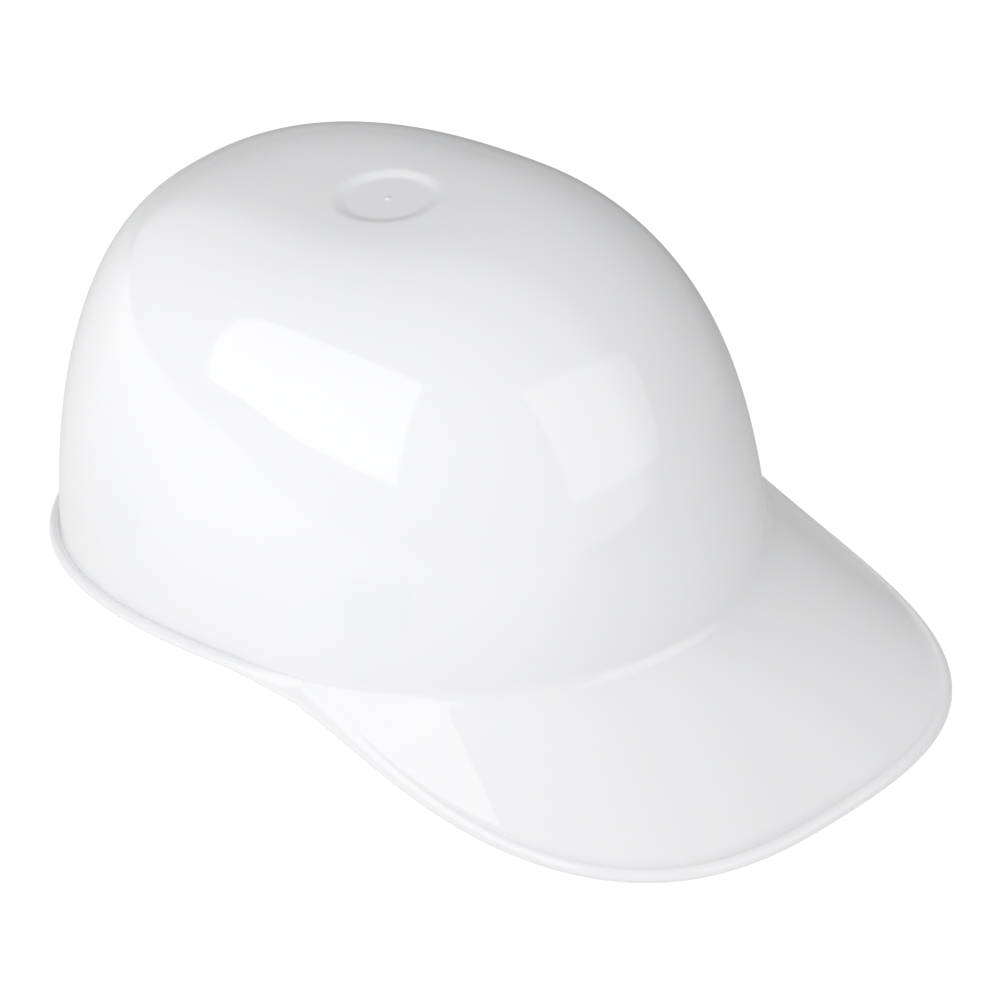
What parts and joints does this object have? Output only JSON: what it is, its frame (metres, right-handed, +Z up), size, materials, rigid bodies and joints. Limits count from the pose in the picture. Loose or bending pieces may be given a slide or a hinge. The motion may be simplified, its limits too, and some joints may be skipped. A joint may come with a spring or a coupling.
{
  "type": "bump cap",
  "caption": "Glossy moulded bump cap with a baseball-style bill and rolled edge, worn on a height- and size-adjustable four-point suspension.",
  "frame": {"origin": "centre of the footprint on the table, with the cap resting on the tip of the bill and the rear rim", "axes": "+Z up, bill towards -Y, wearer's left towards +X; the cap's own upright leans 6.1 degrees back"},
  "size_m": [0.2034, 0.3134, 0.1436],
  "materials": {
    "shell_plastic": "gloss, smooth moulded white polyethylene",
    "key_plastic": "satin moulded light grey",
    "band_plastic": "satin flexible moulded light grey",
    "stud_plastic": "satin moulded white",
    "webbing": "woven matt webbing",
    "pad_fabric": "matt knitted mesh over foam",
    "sweatband_vinyl": "matt perforated vinyl over foam"
  },
  "bodies": {
    "cap": {"shell": "shell_plastic", "key_front_left": "key_plastic", "key_front_right": "key_plastic", "key_rear_left": "key_plastic", "key_rear_right": "key_plastic", "height_button_front_left": "stud_plastic", "height_button_front_right": "stud_plastic", "height_button_rear_left": "stud_plastic", "height_button_rear_right": "stud_plastic", "strap_lower": "webbing", "strap_upper": "webbing", "strap_rivet": "stud_plastic", "crown_pad": "pad_fabric"},
    "headband": {"headband": "band_plastic", "sweatband": "sweatband_vinyl", "sweatband_studs": "stud_plastic"},
    "nape": {"nape_strap": "band_plastic", "nape_pad": "sweatband_vinyl", "nape_pad_studs": "stud_plastic"},
    "size_button_left": {"size_button_left": "stud_plastic"},
    "size_button_right": {"size_button_right": "stud_plastic"}
  },
  "joints": [
    {"name": "headband_height", "type": "slide", "parent": "cap", "child": "headband", "axis": [0, 0.1063, 0.9943], "range_m": [-0.004, 0.004]},
    {"name": "nape_size", "type": "slide", "parent": "headband", "child": "nape", "axis": [0, 0.9943, -0.1063], "range_m": [-0.024, 0.016]},
    {"name": "size_button_left_pull", "type": "slide", "parent": "nape", "child": "size_button_left", "axis": [1, 0, 0], "range_m": [0, 0.0045]},
    {"name": "size_button_right_pull", "type": "slide", "parent": "nape", "child": "size_button_right", "axis": [-1, 0, 0], "range_m": [0, 0.0045]}
  ]
}
